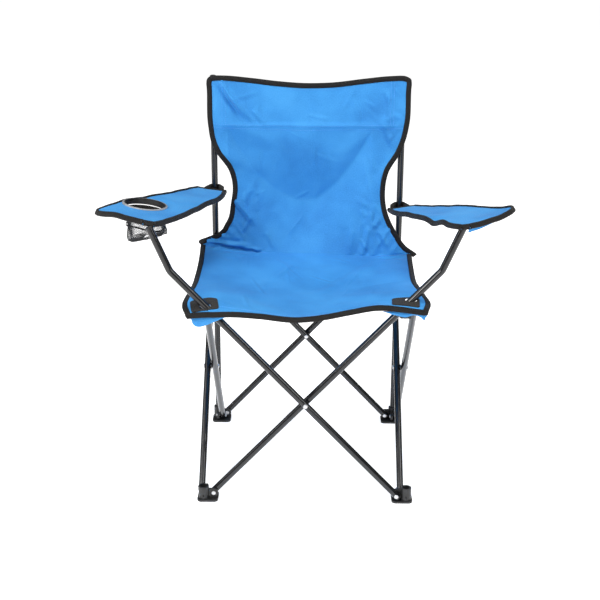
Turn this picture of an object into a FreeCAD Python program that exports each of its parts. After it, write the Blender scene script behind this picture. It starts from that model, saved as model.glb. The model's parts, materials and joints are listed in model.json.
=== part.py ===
import FreeCAD, Part
import math
import os

from FreeCAD import Vector

os.makedirs("parts", exist_ok=True)

# Folding camp chair. It faces -Y, +X is its left-hand side seen from the front, +Z is up.
# The origin is on the floor under the middle of the frame. All sizes are in millimetres.

# Frame: four equal pairs of crossed tubes stand on a square, one pair on each side.
rivet_half = 184.0  # from the middle to a foot rivet, along a side
crossing_rise = 194.6  # from a foot rivet up to the crossing, and again up to the hub rivet
foot_rivet_z = 14.8
side_plane = 201.5  # from the middle to the plane between the two tubes of a side
tube_offset = 7.8  # from that plane to the axis of either tube
corner = 204.0  # from the middle to a post's axis, in x and in y

tube_r = 7.0
tube_wall = 1.0
tube_end = 5.0  # how far a tube runs past its last rivet
rivet_r = 2.4
rivet_head_r = 4.4
rivet_head = 1.7
own_hole = 0.02  # radial clearance where a rivet is fast
pivot_hole = 0.08  # radial clearance where a tube turns on its rivet
loose_hole = 0.3  # radial clearance where the closed linkage meets again
skin = 0.05  # gap under a rivet head

crossing_z = foot_rivet_z + crossing_rise
hub_z = foot_rivet_z + 2 * crossing_rise
lean = math.atan2(rivet_half, crossing_rise)  # a tube's angle from upright
inner = side_plane - tube_offset
outer = side_plane + tube_offset

# Feet
foot_out = 217.0
foot_in = 175.0
pad_height = 4.0
socket_r = 10.6
socket_top = 30.0
socket_hole_r = 7.05
ear_top = 24.0
ear_end_r = ear_top - foot_rivet_z
foot_ear = 5.0
inner_ear = 3.0
ear_gap = 0.3  # between an ear and the tube beside it
screw_z = 12.0
screw_r = 1.5
screw_hole_r = 1.55
screw_head_r = 3.0
screw_head = 1.6
pad_round = 9.0
head_round = 0.8  # share of a rivet head's or cap's height that is rounded

# Hubs under the seat's front corners and sliders on the posts
hub_bottom = hub_z - 14.0
hub_top = hub_z + 5.0
hub_end = rivet_half - 5.0
hub_out = 206.0
slider_hole_r = 7.25
slider_bottom = hub_z - 18.0
slider_top = hub_z + 13.0
hub_round = 4.5

# Posts
post_bottom = pad_height + 0.1
post_top = 793.0
post_cap = 5.0

# Arm tubes: the two front tubes go on past their hubs, bend, and end under the armrests.
arm_bend = Vector(258.7, 0, hub_z + (258.7 - rivet_half) / math.tan(lean))
arm_tip = Vector(294.5, 0, 566.0)
arm_bend_r = 26.0
tip_cap = 4.0
end_cap = 3.0
spigot = 2.0
spigot_gap = 0.1
washer_r = tube_r - 0.5
washer_gap = 0.1

# Armrests, drawn for the side with the cup ring and mirrored for the other
panel = 2.0
arm_roll = 8.0  # degrees: the outer edge stands higher
tip_panel_z = 572.5  # underside at the arm tip, on the side with the cup ring
plain_tip_z = 575.5  # the same on the plain side, which falls more steeply from there
split_z = 571.5
plain_split_z = 551.5
rear_z = 559.6
plain_rear_z = 521.6
panel_split_y = 10.0
panel_front_y = -214.0
panel_rear_y = 189.0
ring_x = -321.0
ring_y = -74.0
ring_r = 44.8
ring_hole_r = 40.0
ring_flange = 3.0
ring_sleeve_r = 42.0
ring_sleeve = 9.0
ring_gap = 0.4
bag_depth = 66.0
bag_bottom_r = 37.0
bag_wall = 1.2
loop_hole_r = 9.4
loop_r = 10.9
loop_height = 20.0
loop_tab = 11.0
loop_bridge = 2.0
tab_gap = 0.4
front_outline = [
    (-210, panel_split_y), (-250, -84), (-272, -170), (-284, panel_front_y), (-306, panel_front_y),
    (-350, -188), (-402, -142), (-408, -112), (-384, -68), (-332, panel_split_y),
]
rear_outline = [
    (-332, panel_split_y), (-290, 80), (-244, 172), (-238, panel_rear_y),
    (-182, panel_rear_y), (-180, 100), (-210, panel_split_y),
]

# Seat and back
seat_z = 413.8
seat_cloth = 2.0
seat_front_y = -226.0
seat_shoulder_y = -196.0
seat_split_y = -18.0
seat_rear_y = 188.0
seat_side = 228.0
seat_corner = 218.0
patch = 1.0
patch_x = 194.0  # middle of a patch
left_patch_y = -outer + 1.0
right_patch_y = -inner - 2.0
patch_half_x = 22.0
patch_half_y = 15.0
patch_round = 9.0
slot_out = 207.0
slot_in = 181.0
slot_gap = 1.8
back_front_y = 190.5
back_bottom = seat_z + seat_cloth + 1.2
back_top = 797.0
pocket_bottom = 692.0
pocket_hole_r = 8.6
pocket_r = 9.8
pocket_web = 3.0
back_edge = [
    (232, back_bottom), (226, 432), (196, 452), (174, 490), (165, 530), (165, 562),
    (174, 594), (203, 636), (211, 664), (216, 700), (217, 770), (218, back_top - 2),
]
back_dip = [(110, 12.0), (0, 17.0), (-110, 12.0)]  # how far the top edge hangs, along x
corner_pocket = 1.2
corner_pocket_out = 222.0
corner_pocket_top = 412.6
corner_pocket_bottom = 384.0
corner_pocket_in = 160.0
corner_pocket_back = 165.0

side_names = ["front", "right", "rear", "left"]
corner_names = ["front_left", "front_right", "rear_right", "rear_left"]
# Pivots where the tree of joints is opened: the tube's hole is loose there.
loose = {"left_inner_top", "right_outer_top", "right_outer_foot", "rear_outer_top", "rear_inner_top"}


def save(shape, name):
    if not shape.isValid():
        print("not valid:", name)
    shape.exportStep("parts/" + name + ".step")


def group(solids):
    return Part.makeCompound(solids)


def box(low, high):
    return Part.makeBox(high[0] - low[0], high[1] - low[1], high[2] - low[2], Vector(*low))


def rod(start, end, radius):
    along = end - start
    return Part.makeCylinder(radius, along.Length, start, along)


def quarter_turns(shape, turns):
    """The same piece at another corner or on another side of the square."""
    turned = shape.copy()
    turned.rotate(Vector(0, 0, 0), Vector(0, 0, 1), 90 * turns)
    return turned


def mirrored(shape):
    return shape.mirror(Vector(0, 0, 0), Vector(1, 0, 0))


def prism(points, thickness):
    """A plate on a flat outline, thickened upwards."""
    wire = Part.makePolygon(points + [points[0]])
    return Part.Face(wire).extrude(Vector(0, 0, thickness))


def dome(base, along, radius, height):
    """A rounded cap that closes the end of a tube, with a short spigot inside it."""
    cap = Part.makeCylinder(radius, height)
    rim = [e for e in cap.Edges if e.BoundBox.ZMin > height - 0.01]
    cap = cap.makeFillet(min(height, radius) * head_round, rim)
    cap = cap.fuse(Part.makeCylinder(tube_r - tube_wall - spigot_gap, spigot, Vector(0, 0, -spigot)))
    cap.Placement = FreeCAD.Placement(base, FreeCAD.Rotation(Vector(0, 0, 1), along))
    return cap


def rivet(start, end):
    """A shank between two faces, with a rounded head on each."""
    along = (end - start).normalize()
    shape = rod(start - along * skin, end + along * skin, rivet_r)
    for place, way in [(start - along * skin, along * -1), (end + along * skin, along)]:
        head = Part.makeCylinder(rivet_head_r, rivet_head)
        rim = [e for e in head.Edges if e.BoundBox.ZMin > rivet_head - 0.01]
        head = head.makeFillet(rivet_head * head_round, rim)
        head.Placement = FreeCAD.Placement(place, FreeCAD.Rotation(Vector(0, 0, 1), way))
        shape = shape.fuse(head)
    return shape


# Tubes. Each side is drawn as the front side: x runs along it, y is its plane.
rise = Vector(math.sin(lean), 0, math.cos(lean))


def tube_along(points, bend_r, radius):
    """A round bar that follows straight runs joined by one arc."""
    if len(points) == 2:
        return rod(points[0], points[1], radius)
    first, middle, last = points
    before = (middle - first).normalize()
    after = (last - middle).normalize()
    turn = before.getAngle(after)
    cut_back = bend_r * math.tan(turn / 2)
    start = middle - before * cut_back
    end = middle + after * cut_back
    towards = (after - before).normalize()
    centre = middle + towards * (bend_r / math.cos(turn / 2))
    arc = Part.Arc(start, centre - towards * bend_r, end).toShape()
    path = Part.Wire([Part.makeLine(first, start), arc, Part.makeLine(end, last)])
    ring = Part.Wire(Part.makeCircle(radius, first, before))
    return path.makePipeShell([ring], True, False)


def cross_tube(y, name, arm):
    """A tube that rises from the left foot to the right hub, with its rivet holes."""
    foot = Vector(-rivet_half, y, foot_rivet_z)
    hub = Vector(rivet_half, y, hub_z)
    low = foot - rise * tube_end
    points = [low, hub + rise * tube_end]
    if arm:
        points = [low, arm_bend + Vector(0, y, 0), arm_tip + Vector(0, y, 0)]
    bar = tube_along(points, arm_bend_r, tube_r)
    bore = tube_along(points, arm_bend_r, tube_r - tube_wall)
    bar = bar.cut(bore)
    through = Vector(0, tube_r + 1, 0)
    crossing = Vector(0, y, crossing_z)
    fast = own_hole if "outer" in name else pivot_hole
    holes = [(crossing, fast)]
    holes.append((foot, loose_hole if name + "_foot" in loose else pivot_hole))
    holes.append((hub, loose_hole if name + "_top" in loose else pivot_hole))
    for place, clearance in holes:
        bar = bar.cut(rod(place - through, place + through, rivet_r + clearance))
    return bar


def tube_caps(y, arm):
    low = Vector(-rivet_half, y, foot_rivet_z) - rise * tube_end
    caps = [dome(low, rise * -1, tube_r, end_cap)]
    if arm:
        tip = arm_tip + Vector(0, y, 0)
        caps.append(dome(tip, (arm_tip - arm_bend).normalize(), tube_r, tip_cap))
    else:
        caps.append(dome(Vector(rivet_half, y, hub_z) + rise * tube_end, rise, tube_r, end_cap))
    return group(caps)


def make_side(turns):
    side = side_names[turns]
    arm = side == "front"
    # The inner tube rises to the right, the outer one to the left.
    save(quarter_turns(cross_tube(-inner, side + "_inner", arm), turns), side + "_inner_tube")
    save(quarter_turns(tube_caps(-inner, arm), turns), side + "_inner_tube_caps")
    outer_tube = mirrored(cross_tube(-outer, side + "_outer", arm))
    save(quarter_turns(outer_tube, turns), side + "_outer_tube")
    save(quarter_turns(mirrored(tube_caps(-outer, arm)), turns), side + "_outer_tube_caps")
    front = Vector(0, -outer - tube_r, crossing_z)
    back = Vector(0, -inner + tube_r, crossing_z)
    save(quarter_turns(rivet(front, back), turns), side + "_crossing_rivet")
    gap = 2 * (tube_offset - tube_r)
    washer_front = Vector(0, -side_plane - gap / 2 + washer_gap, crossing_z)
    washer_back = Vector(0, -side_plane + gap / 2 - washer_gap, crossing_z)
    washer = rod(washer_front, washer_back, washer_r)
    washer = washer.cut(rod(washer_front, washer_back, rivet_r + pivot_hole))
    save(quarter_turns(washer, turns), side + "_crossing_spacer")


def rivet_holes(shape, z):
    """One hole along y and one along x, for the two rivets of a corner."""
    hole_r = rivet_r + own_hole
    shape = shape.cut(rod(Vector(-rivet_half, -foot_out, z), Vector(-rivet_half, -foot_in, z), hole_r))
    return shape.cut(rod(Vector(-foot_out, -rivet_half, z), Vector(-foot_in, -rivet_half, z), hole_r))


# Feet, drawn at the front left corner
def make_foot():
    pad = box((-foot_out, -foot_out, 0), (-foot_in, -foot_in, pad_height))
    upright = [e for e in pad.Edges if e.BoundBox.ZLength > pad_height - 0.1]
    pad = pad.makeFillet(pad_round, upright)
    socket = rod(Vector(-corner, -corner, 0), Vector(-corner, -corner, socket_top), socket_r)
    front_y = -inner - tube_r - ear_gap
    side_x = -outer + tube_r + ear_gap
    front_pivot = Vector(-rivet_half, front_y, foot_rivet_z)
    side_pivot = Vector(side_x, -rivet_half, foot_rivet_z)
    front_ear = box((-corner, front_y - foot_ear, 0), (-rivet_half, front_y, ear_top))
    front_end = rod(front_pivot - Vector(0, foot_ear, 0), front_pivot, ear_end_r)
    side_ear = box((side_x, -corner, 0), (side_x + foot_ear, -rivet_half, ear_top))
    side_end = rod(side_pivot, side_pivot + Vector(foot_ear, 0, 0), ear_end_r)
    foot = pad.fuse([socket, front_ear, front_end, side_ear, side_end])
    low, high = Vector(-corner, -corner, pad_height), Vector(-corner, -corner, socket_top)
    foot = foot.cut(rod(low, high + Vector(0, 0, 1), socket_hole_r))
    foot = rivet_holes(foot, foot_rivet_z)
    middle = Vector(-corner, -corner, screw_z)
    foot = foot.cut(rod(middle, Vector(-corner, -foot_out - 1, screw_z), screw_hole_r))
    foot = foot.cut(rod(middle, Vector(-foot_out - 1, -corner, screw_z), screw_hole_r))
    return foot.removeSplitter()


def foot_rivets():
    front_y = -inner - tube_r - ear_gap - foot_ear
    side_x = -outer + tube_r + ear_gap + foot_ear
    z = foot_rivet_z
    first = rivet(Vector(-rivet_half, front_y, z), Vector(-rivet_half, -inner + tube_r, z))
    second = rivet(Vector(-outer - tube_r, -rivet_half, z), Vector(side_x, -rivet_half, z))
    return group([first, second])


# Hubs, drawn at the front left corner: the outer tube comes up along x, the inner one along y.
def make_hub(slider):
    front_y = -outer + tube_r + ear_gap
    side_x = -inner - tube_r - ear_gap
    bottom = slider_bottom if slider else hub_bottom
    front_ear = box((-hub_out, front_y, hub_bottom), (-hub_end, front_y + inner_ear, hub_top))
    side_ear = box((side_x - foot_ear, front_y, hub_bottom), (side_x, -hub_end, hub_top))
    pieces = []
    for ear, thin in [(front_ear, inner_ear), (side_ear, foot_ear)]:
        ends = []
        for e in ear.Edges:
            bounds = e.BoundBox
            if bounds.DiagonalLength < thin + 0.1 and max(bounds.XMax, bounds.YMax) > -hub_end - 0.1:
                ends.append(e)
        pieces.append(ear.makeFillet(hub_round, ends))
    hub = pieces[0].fuse(pieces[1])
    if slider:
        low, high = Vector(-corner, -corner, bottom), Vector(-corner, -corner, slider_top)
        hub = hub.fuse(rod(low, high, socket_r))
        hub = hub.cut(rod(low - Vector(0, 0, 1), high + Vector(0, 0, 1), slider_hole_r))
    return rivet_holes(hub, hub_z).removeSplitter()


def hub_rivets():
    front_y = -outer + tube_r + ear_gap + inner_ear
    side_x = -inner - tube_r - ear_gap - foot_ear
    first = rivet(Vector(-rivet_half, -outer - tube_r, hub_z), Vector(-rivet_half, front_y, hub_z))
    second = rivet(Vector(side_x, -rivet_half, hub_z), Vector(-inner + tube_r, -rivet_half, hub_z))
    return group([first, second])


def make_post(turns):
    name = corner_names[turns]
    foot = Vector(-corner, -corner, post_bottom)
    top = Vector(-corner, -corner, post_top)
    post = rod(foot, top, tube_r).cut(rod(foot, top, tube_r - tube_wall))
    middle = Vector(-corner, -corner, screw_z)
    outward = Vector(0, -1, 0) if turns == 2 else Vector(-1, 0, 0)
    post = post.cut(rod(middle, middle + outward * (tube_r + 1), screw_hole_r))
    save(quarter_turns(post, turns), name + "_post")
    save(quarter_turns(dome(top, Vector(0, 0, 1), tube_r + 0.2, post_cap), turns), name + "_post_cap")
    face = middle + outward * (socket_r + skin)
    screw = rod(middle + outward * (tube_r - 2), face, screw_r)
    screw = screw.fuse(rod(face, face + outward * screw_head, screw_head_r))
    save(quarter_turns(screw, turns), name + "_post_screw")


# Armrests: panels in two halves, loops round the posts, a cup ring and a mesh bag under it
def rolled(shape):
    """Turned about the arm tip, so that the outer edge of the armrest is the higher one."""
    tilted = shape.copy()
    tilted.rotate(Vector(-arm_tip.x, 0, tip_panel_z), Vector(0, 1, 0), arm_roll)
    return tilted


def panel_half(outline, start, end):
    """A flat plate whose underside goes straight from one (y, z) to the other."""
    points = []
    for x, y in outline:
        share = (y - start[0]) / (end[0] - start[0])
        points.append(Vector(x, y, start[1] + (end[1] - start[1]) * share))
    return prism(points, panel)


def make_armrest(side, tip_height, split_height, rear_height):
    turn = (lambda shape: shape) if side == "left" else mirrored
    split = (panel_split_y, split_height)
    front = panel_half(front_outline, (panel_front_y, tip_height), split)
    if side == "left":
        centre = Vector(ring_x, ring_y, 0)
        front = front.cut(rod(centre, centre + Vector(0, 0, post_top), ring_sleeve_r + ring_gap))
    save(turn(rolled(front)), side + "_armrest_front")
    rear = panel_half(rear_outline, split, (panel_rear_y, rear_height))
    save(turn(rolled(rear)), side + "_armrest_rear")
    end = rolled(Part.Vertex(-corner, panel_rear_y, rear_height + panel / 2)).Point
    middle = Vector(-corner, corner, end.z)
    half = Vector(0, 0, loop_height / 2)
    loop = rod(middle - half, middle + half, loop_r)
    low = middle.z - loop_height / 2
    high = middle.z + loop_height / 2
    tab_y = panel_rear_y + tab_gap
    tab = box((-corner - loop_tab, tab_y, low), (-corner + loop_tab, tab_y + bag_wall, high))
    bridge = box((-corner - loop_bridge, tab_y, low), (-corner + loop_bridge, corner, high))
    loop = loop.fuse([tab, bridge]).cut(rod(middle - half, middle + half, loop_hole_r))
    save(turn(loop.removeSplitter()), side + "_armrest_loop")


def make_cup_holder():
    """A stiff ring through the left panel, and a soft bag that hangs under it."""
    top = tip_panel_z + panel + ring_gap / 4
    centre = Vector(ring_x, ring_y, 0)
    up = Vector(0, 0, 1)
    flange = rod(centre + up * top, centre + up * (top + ring_flange), ring_r)
    rim = [e for e in flange.Edges if e.BoundBox.ZMin > top + ring_flange - 0.01]
    flange = flange.makeFillet(ring_flange * 0.6, rim)
    sleeve = rod(centre + up * (top - ring_sleeve), centre + up * top, ring_sleeve_r)
    ring = flange.fuse(sleeve)
    ring = ring.cut(rod(centre + up * (top - ring_sleeve - 1), centre + up * post_top, ring_hole_r))
    save(rolled(ring), "cup_ring")
    low = centre + up * (top - ring_sleeve - ring_gap / 2 - bag_depth)
    shell = Part.makeCone(bag_bottom_r, ring_sleeve_r, bag_depth, low)
    hollow = Part.makeCone(
        bag_bottom_r - bag_wall, ring_sleeve_r - bag_wall, bag_depth - bag_wall, low + up * bag_wall
    )
    save(rolled(shell.cut(hollow)), "cup_mesh_bag")


# Seat, back and the pieces sewn to them
def tube_slot(low_z, high_z):
    """Room for the left arm tube where it comes up through the seat's front corner."""
    reach = tube_r + slot_gap
    slot = []
    for x in (-slot_out, -slot_in):
        slot.append(rod(Vector(x, -outer, low_z), Vector(x, -outer, high_z), reach))
    slot.append(box((-slot_out, -outer - reach, low_z), (-slot_in, -outer + reach, high_z)))
    return slot[0].fuse(slot[1:]).removeSplitter()


def right_tube_slot(low_z, high_z):
    slot = mirrored(tube_slot(low_z, high_z))
    slot.translate(Vector(0, outer - inner, 0))
    return slot


def make_seat():
    left = [(-seat_corner, seat_front_y), (-seat_side, seat_shoulder_y), (-seat_side, seat_split_y)]
    outline = left + [(-x, y) for x, y in reversed(left)]
    front = prism([Vector(x, y, seat_z) for x, y in outline], seat_cloth)
    for slot in (tube_slot(seat_z - 1, seat_z + 5), right_tube_slot(seat_z - 1, seat_z + 5)):
        front = front.cut(slot)
    save(front, "seat_front_half")
    rear = box((-seat_side, seat_split_y, seat_z), (seat_side, seat_rear_y, seat_z + seat_cloth))
    save(rear, "seat_rear_half")
    top = seat_z + seat_cloth
    patches = []
    for slot, middle in [
        (tube_slot(top - 1, top + 5), Vector(-patch_x, left_patch_y, top)),
        (right_tube_slot(top - 1, top + 5), Vector(patch_x, right_patch_y, top)),
    ]:
        half = Vector(patch_half_x, patch_half_y, 0)
        plate = box(middle - half, middle + half + Vector(0, 0, patch))
        upright = [e for e in plate.Edges if abs(e.BoundBox.ZLength - patch) < 0.01]
        patches.append(plate.makeFillet(patch_round, upright).cut(slot))
    save(group(patches), "seat_corner_patches")


def make_back():
    right = [Vector(x, back_front_y, z) for x, z in back_edge]
    left = [Vector(-x, back_front_y, z) for x, z in reversed(back_edge)]
    top = [Vector(x, back_front_y, back_top - dip) for x, dip in back_dip]
    outline = right + top + left
    sheet = Part.Face(Part.makePolygon(outline + [outline[0]])).extrude(Vector(0, seat_cloth, 0))
    for x in (-corner, corner):
        low = Vector(x, corner, pocket_bottom)
        high = Vector(x, corner, post_top)
        sleeve = rod(low, high, pocket_r)
        web_front = back_front_y + seat_cloth / 2
        web_back = corner - pocket_hole_r
        web = box((x - pocket_web, web_front, pocket_bottom), (x + pocket_web, web_back, post_top))
        sleeve = sleeve.fuse(web).cut(rod(low, high, pocket_hole_r))
        sheet = sheet.fuse(sleeve)
    save(sheet.removeSplitter(), "back_panel")


def make_corner_pockets():
    """Cloth sewn under the seat's front corners, round the hubs."""
    out = corner_pocket_out
    start = (-out, -out, corner_pocket_bottom)
    front = box(start, (-corner_pocket_in, -out + corner_pocket, corner_pocket_top))
    side = box(start, (-out + corner_pocket, -corner_pocket_back, corner_pocket_top))
    pocket = front.fuse(side).removeSplitter()
    save(pocket, "front_left_corner_pocket")
    save(mirrored(pocket), "front_right_corner_pocket")


for turns in range(4):
    name = corner_names[turns]
    make_side(turns)
    save(quarter_turns(make_foot(), turns), name + "_foot")
    save(quarter_turns(foot_rivets(), turns), name + "_foot_rivets")
    slider = turns > 1
    save(quarter_turns(make_hub(slider), turns), name + ("_slider" if slider else "_hub"))
    save(quarter_turns(hub_rivets(), turns), name + "_hub_rivets")
    if slider:
        make_post(turns)

make_armrest("left", tip_panel_z, split_z, rear_z)
make_armrest("right", plain_tip_z, plain_split_z, plain_rear_z)
make_cup_holder()
make_seat()
make_back()
make_corner_pockets()
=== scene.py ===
import bpy
import json
import math
import numpy as np
from mathutils import Matrix, Vector


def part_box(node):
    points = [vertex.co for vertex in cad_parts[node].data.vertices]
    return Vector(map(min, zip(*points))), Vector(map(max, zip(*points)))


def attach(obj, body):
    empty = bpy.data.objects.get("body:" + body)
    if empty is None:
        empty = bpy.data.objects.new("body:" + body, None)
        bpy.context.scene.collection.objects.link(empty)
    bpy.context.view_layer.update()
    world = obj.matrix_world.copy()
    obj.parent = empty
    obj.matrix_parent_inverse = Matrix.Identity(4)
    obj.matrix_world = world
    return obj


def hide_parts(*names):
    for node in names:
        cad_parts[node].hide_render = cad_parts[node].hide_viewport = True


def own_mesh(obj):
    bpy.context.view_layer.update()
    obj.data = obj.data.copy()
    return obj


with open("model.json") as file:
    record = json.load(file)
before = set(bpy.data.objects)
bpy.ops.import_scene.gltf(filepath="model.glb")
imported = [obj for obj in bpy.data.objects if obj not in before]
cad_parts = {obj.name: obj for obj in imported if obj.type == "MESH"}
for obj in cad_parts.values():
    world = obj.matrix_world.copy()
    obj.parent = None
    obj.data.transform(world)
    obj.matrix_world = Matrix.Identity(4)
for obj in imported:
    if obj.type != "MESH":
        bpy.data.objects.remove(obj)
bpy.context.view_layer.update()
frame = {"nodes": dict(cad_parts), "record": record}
mm = 0.001
tiny = 1e-12
fullTurn = 2 * math.pi
collection = bpy.context.scene.collection


def unit(a):
    return a / np.maximum(np.linalg.norm(a, axis=-1, keepdims=True), tiny)


def smooth(t):
    t = np.clip(t, 0, 1)
    return t * t * (3 - 2 * t)


def fade(x, start, width):
    # rises from 0 at start to 1 a width further on
    return smooth((x - start) / width)


def bell(x, middle, reach):
    return np.exp(-((x - middle) / reach) ** 2)


def between(t, span, values, slopes):
    # smooth run from the first value to the second, with a slope at each end
    start = (1 + 2 * t) * (1 - t) ** 2 * values[0] + t * (1 - t) ** 2 * span * slopes[0]
    end = t * t * (3 - 2 * t) * values[1] + t * t * (t - 1) * span * slopes[1]
    return start + end


def throughPoints(points, at):
    # smooth line through (position, value) pairs, level beyond its ends
    xs, ys = np.array(points, float).T
    slope = np.gradient(ys, xs)
    at = np.clip(np.asarray(at, float), xs[0], xs[-1])
    i = np.clip(np.searchsorted(xs, at) - 1, 0, len(xs) - 2)
    span = xs[i + 1] - xs[i]
    return between((at - xs[i]) / span, span, (ys[i], ys[i + 1]), (slope[i], slope[i + 1]))


def shareGrid(cols, rows):
    return np.meshgrid(np.linspace(0, 1, cols), np.linspace(0, 1, rows))


def same(direction, count):
    return np.tile(np.array(direction, float), (count, 1))


def runAlong(path):
    return np.concatenate([[0], np.cumsum(np.linalg.norm(np.diff(path, axis=0), axis=1))])


crease = {
    "riseRate": 3.5, "riseStart": 0.35, "fallRate": 2.5, "fallStart": 0.2,
    "valleyDepth": 0.6, "valleyPlace": 1.7, "valleyWidth": 1.3, "tilt": 0.75, "widths": (3.0, 7.0),
}


def foldLine(x, y, start, end, width, height):
    # a soft crease from start to end, with a shallow valley on one side
    dx, dy = end[0] - start[0], end[1] - start[1]
    length = math.hypot(dx, dy)
    along = ((x - start[0]) * dx + (y - start[1]) * dy) / length ** 2
    off = ((x - start[0]) * dy - (y - start[1]) * dx) / length
    rise = smooth(along * crease["riseRate"] + crease["riseStart"])
    fall = smooth((1 - along) * crease["fallRate"] + crease["fallStart"])
    valley = bell(off, crease["valleyPlace"] * width, crease["valleyWidth"] * width)
    return height * (bell(off, 0, width) - crease["valleyDepth"] * valley) * rise * fall


def smallCreases(seed, count, area, length, height):
    # short creases at random places and mostly upright, as (start, end, width, height)
    r = np.random.default_rng(seed)
    made = []
    for k in range(count):
        cx, cy = r.uniform(area[0], area[1]), r.uniform(area[2], area[3])
        a = r.normal(math.pi / 2, crease["tilt"])
        half = r.uniform(*length) / 2
        dx, dy = half * math.cos(a), half * math.sin(a)
        made.append(((cx - dx, cy - dy), (cx + dx, cy + dy), r.uniform(*crease["widths"]), r.uniform(*height)))
    return made


waves = {"count": 5, "speeds": (0.6, 1.6), "phase": 6.28}


def ripple(x, y, seed, size, height):
    # slow uneven waves, the same each run
    r = np.random.default_rng(seed)
    total = np.zeros_like(x)
    for k in range(waves["count"]):
        a = r.uniform(0, math.pi)
        f = r.uniform(*waves["speeds"]) / size
        total += np.sin((x * math.cos(a) + y * math.sin(a)) * f * fullTurn + r.uniform(0, waves["phase"]))
    return total / waves["count"] * height


def puckers(along, inward, spec):
    # gathers along a seam that fade with the distance from it
    wave = np.sin(along * spec["pitch"] + np.sin(along * spec["drift"]) * spec["sway"])
    return spec["height"] * wave * np.exp(-np.clip(inward, 0, spec["last"]) / spec["reach"])


def newMesh(name, verts, faces, uv=None, normals=None):
    mesh = bpy.data.meshes.new(name)
    mesh.from_pydata([tuple(v) for v in verts], [], faces)
    mesh.update()
    mesh.polygons.foreach_set("use_smooth", [True] * len(mesh.polygons))
    loops = np.zeros(len(mesh.loops), np.int32)
    mesh.loops.foreach_get("vertex_index", loops)
    if uv is not None:
        layer = mesh.uv_layers.new(name="cloth")
        layer.data.foreach_set("uv", np.asarray(uv, np.float32)[loops].ravel())
    if normals is not None:
        mesh.normals_split_custom_set([tuple(n) for n in np.asarray(normals)[loops]])
    piece = bpy.data.objects.new(name, mesh)
    collection.objects.link(piece)
    return piece


def gridNormals(p):
    return unit(np.cross(np.gradient(p, axis=1), np.gradient(p, axis=0)))


def clothFromGrid(name, p, thickness, flat, keep=None, normals=None):
    # two layers with a rim, all in millimetres; keep says which cells of the grid are cloth
    rows, cols = p.shape[:2]
    n = gridNormals(p) if normals is None else normals
    layers = [(p + n * side * thickness / 2).reshape(-1, 3) * mm for side in (1, -1)]
    count = rows * cols
    keep = np.ones((rows - 1, cols - 1), bool) if keep is None else keep
    faces, edges = [], {}
    for i in range(rows - 1):
        for j in range(cols - 1):
            if not keep[i, j]:
                continue
            a, b = i * cols + j, i * cols + j + 1
            c, d = (i + 1) * cols + j + 1, (i + 1) * cols + j
            faces.append((a, b, c, d))
            faces.append((a + count, d + count, c + count, b + count))
            for e in ((a, b), (b, c), (c, d), (d, a)):
                back = (e[1], e[0])
                if back in edges:
                    del edges[back]
                else:
                    edges[e] = True
    for a, b in edges:
        faces.append((b, a, a + count, b + count))
    verts = np.concatenate(layers)
    allNormals = np.concatenate([n.reshape(-1, 3), -n.reshape(-1, 3)])
    flat = np.concatenate([flat.reshape(-1, 2) * mm] * 2)
    used = np.zeros(len(verts), bool)
    for f in faces:
        used[list(f)] = True
    index = np.cumsum(used) - 1
    faces = [tuple(int(index[v]) for v in f) for f in faces]
    return newMesh(name, verts[used], faces, flat[used], allNormals[used])


def sweep(name, path, inward, normal, section, closed=False):
    # carries a closed outline (inward, normal) along a path
    path, inward, normal = map(np.asarray, (path, inward, normal))
    count, ring = len(path), len(section)
    run, around = runAlong(path), runAlong(np.array(section))
    verts, uv, faces = [], [], []
    for i in range(count):
        for k, (a, b) in enumerate(section):
            verts.append(path[i] + inward[i] * a + normal[i] * b)
            uv.append((run[i], around[k]))
    for i in range(count if closed else count - 1):
        here, ahead = i * ring, (i + 1) % count * ring
        for k in range(ring):
            after = (k + 1) % ring
            faces.append((here + k, here + after, ahead + after, ahead + k))
    if not closed:
        faces.append(tuple(range(ring - 1, -1, -1)))
        faces.append(tuple(range((count - 1) * ring, count * ring)))
    return newMesh(name, verts, faces, uv)


tape = {"rim": 0.75, "shoulder": 0.55, "crown": 1.05, "curl": 0.7}


def tapeSection(width, half, over):
    # a folded tape seen end on: flat on both faces of the cloth, round over its edge
    rim = half * tape["rim"]
    upper = [(width, rim), (width * tape["shoulder"], half), (0, half * tape["crown"]),
             (-over * tape["curl"], rim)]
    return upper + [(-over, 0)] + [(a, -b) for a, b in reversed(upper)]


def resample(path, others, step):
    run = runAlong(path)
    at = np.linspace(0, run[-1], max(2, int(run[-1] / step)))
    out = [np.stack([np.interp(at, run, a[:, k]) for k in range(3)], 1) for a in [path, *others]]
    return [out[0]] + [unit(o) for o in out[1:]]


def finishPiece(piece, body, material):
    piece.data.materials.clear()
    piece.data.materials.append(material)
    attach(piece, body)


stitch = {"length": 2.6, "space": 4.0, "width": 0.75, "height": 0.55, "sink": 0.3, "tip": 0.35}


def stitchRows(name, rows, body, material):
    # rows is a list of (points, normals); each stitch is a little lozenge of thread
    verts, faces = [], []
    half, w, h = stitch["length"] * mm / 2, stitch["width"] * mm / 2, stitch["height"] * mm
    for points, normals in rows:
        points, normals = resample(points, [normals], stitch["space"] * mm)
        tangents = unit(np.gradient(points, axis=0))
        across = unit(np.cross(normals, tangents))
        for p, n, t, a in zip(points, normals, tangents, across):
            base = len(verts)
            for s, k in ((-1.0, stitch["tip"]), (-0.5, 1.0), (0.5, 1.0), (1.0, stitch["tip"])):
                c, low = p + t * half * s, n * h * stitch["sink"]
                verts += [c + a * w * k - low, c + n * h * k, c - a * w * k - low]
            for q in (base, base + 3, base + 6):
                for k in range(3):
                    faces.append((q + k, q + (k + 1) % 3, q + 3 + (k + 1) % 3, q + 3 + k))
            faces.append((base + 2, base + 1, base))
            faces.append((base + 9, base + 10, base + 11))
    piece = newMesh(name, verts, faces)
    finishPiece(piece, body, material)
    return piece


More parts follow.
